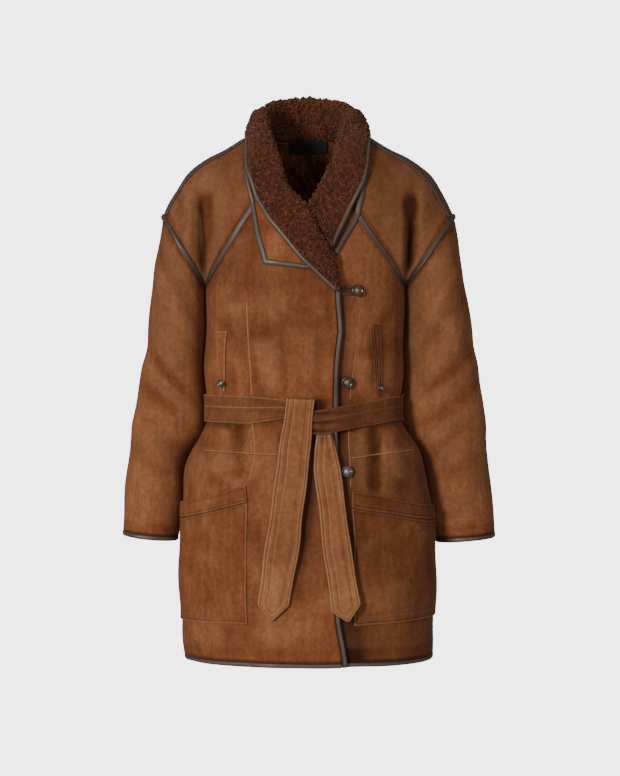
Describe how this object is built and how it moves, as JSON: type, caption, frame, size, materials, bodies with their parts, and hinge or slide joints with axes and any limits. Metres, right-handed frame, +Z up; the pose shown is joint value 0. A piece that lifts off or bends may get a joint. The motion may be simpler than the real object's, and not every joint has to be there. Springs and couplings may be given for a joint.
{
  "type": "belted shearling wrap coat filled out as when worn",
  "caption": "Hollow thigh-length wrap coat in tan suede with a curly shearling shawl collar, dark leather taped seams, patch pockets and a tied belt.",
  "frame": {"origin": "at the base of the neck, midway between the shoulders, where the wearer holds the coat up", "axes": "+Z up, -Y towards the front, +X to the right of someone who looks at the front"},
  "size_m": [0.638, 0.2771, 0.9626],
  "materials": {
    "tan_suede": "napped suede, matt",
    "dark_leather": "smooth, satin",
    "shearling": "curly fleece, matt",
    "horn": "polished dark horn",
    "label": "woven, matt, blank"
  },
  "bodies": {
    "root": {"front_over": "tan_suede", "front_under": "tan_suede", "back": "tan_suede", "yoke_front_left": "tan_suede", "yoke_front_right": "tan_suede", "yoke_back_left": "tan_suede", "yoke_back_right": "tan_suede", "sleeve_left": "tan_suede", "sleeve_right": "tan_suede", "lapel_flap": "tan_suede", "pocket_left": "tan_suede", "pocket_right": "tan_suede", "pocket_band_left": "tan_suede", "pocket_band_right": "tan_suede", "welt_left": "tan_suede", "welt_right": "tan_suede", "belt_back": "tan_suede", "belt_left": "tan_suede", "belt_right": "tan_suede", "belt_tail_left": "tan_suede", "belt_tail_right": "tan_suede", "collar_piping": "dark_leather", "lapel_tape": "dark_leather", "neck_tape": "dark_leather", "front_edge_binding": "dark_leather", "hem_binding_over": "dark_leather", "hem_binding_under": "dark_leather", "cuff_binding_left": "dark_leather", "cuff_binding_right": "dark_leather", "button_loop": "dark_leather", "button_tab": "dark_leather", "raglan_tape_front_left": "dark_leather", "raglan_tape_back_left": "dark_leather", "shoulder_tape_left": "dark_leather", "armhole_tape_left": "dark_leather", "raglan_tape_front_right": "dark_leather", "raglan_tape_back_right": "dark_leather", "shoulder_tape_right": "dark_leather", "armhole_tape_right": "dark_leather", "collar": "shearling", "button_upper": "horn", "button_middle": "horn", "button_lower": "horn", "small_button_left": "horn", "small_button_right": "horn", "neck_label": "label", "size_tab": "label"}
  },
  "joints": []
}
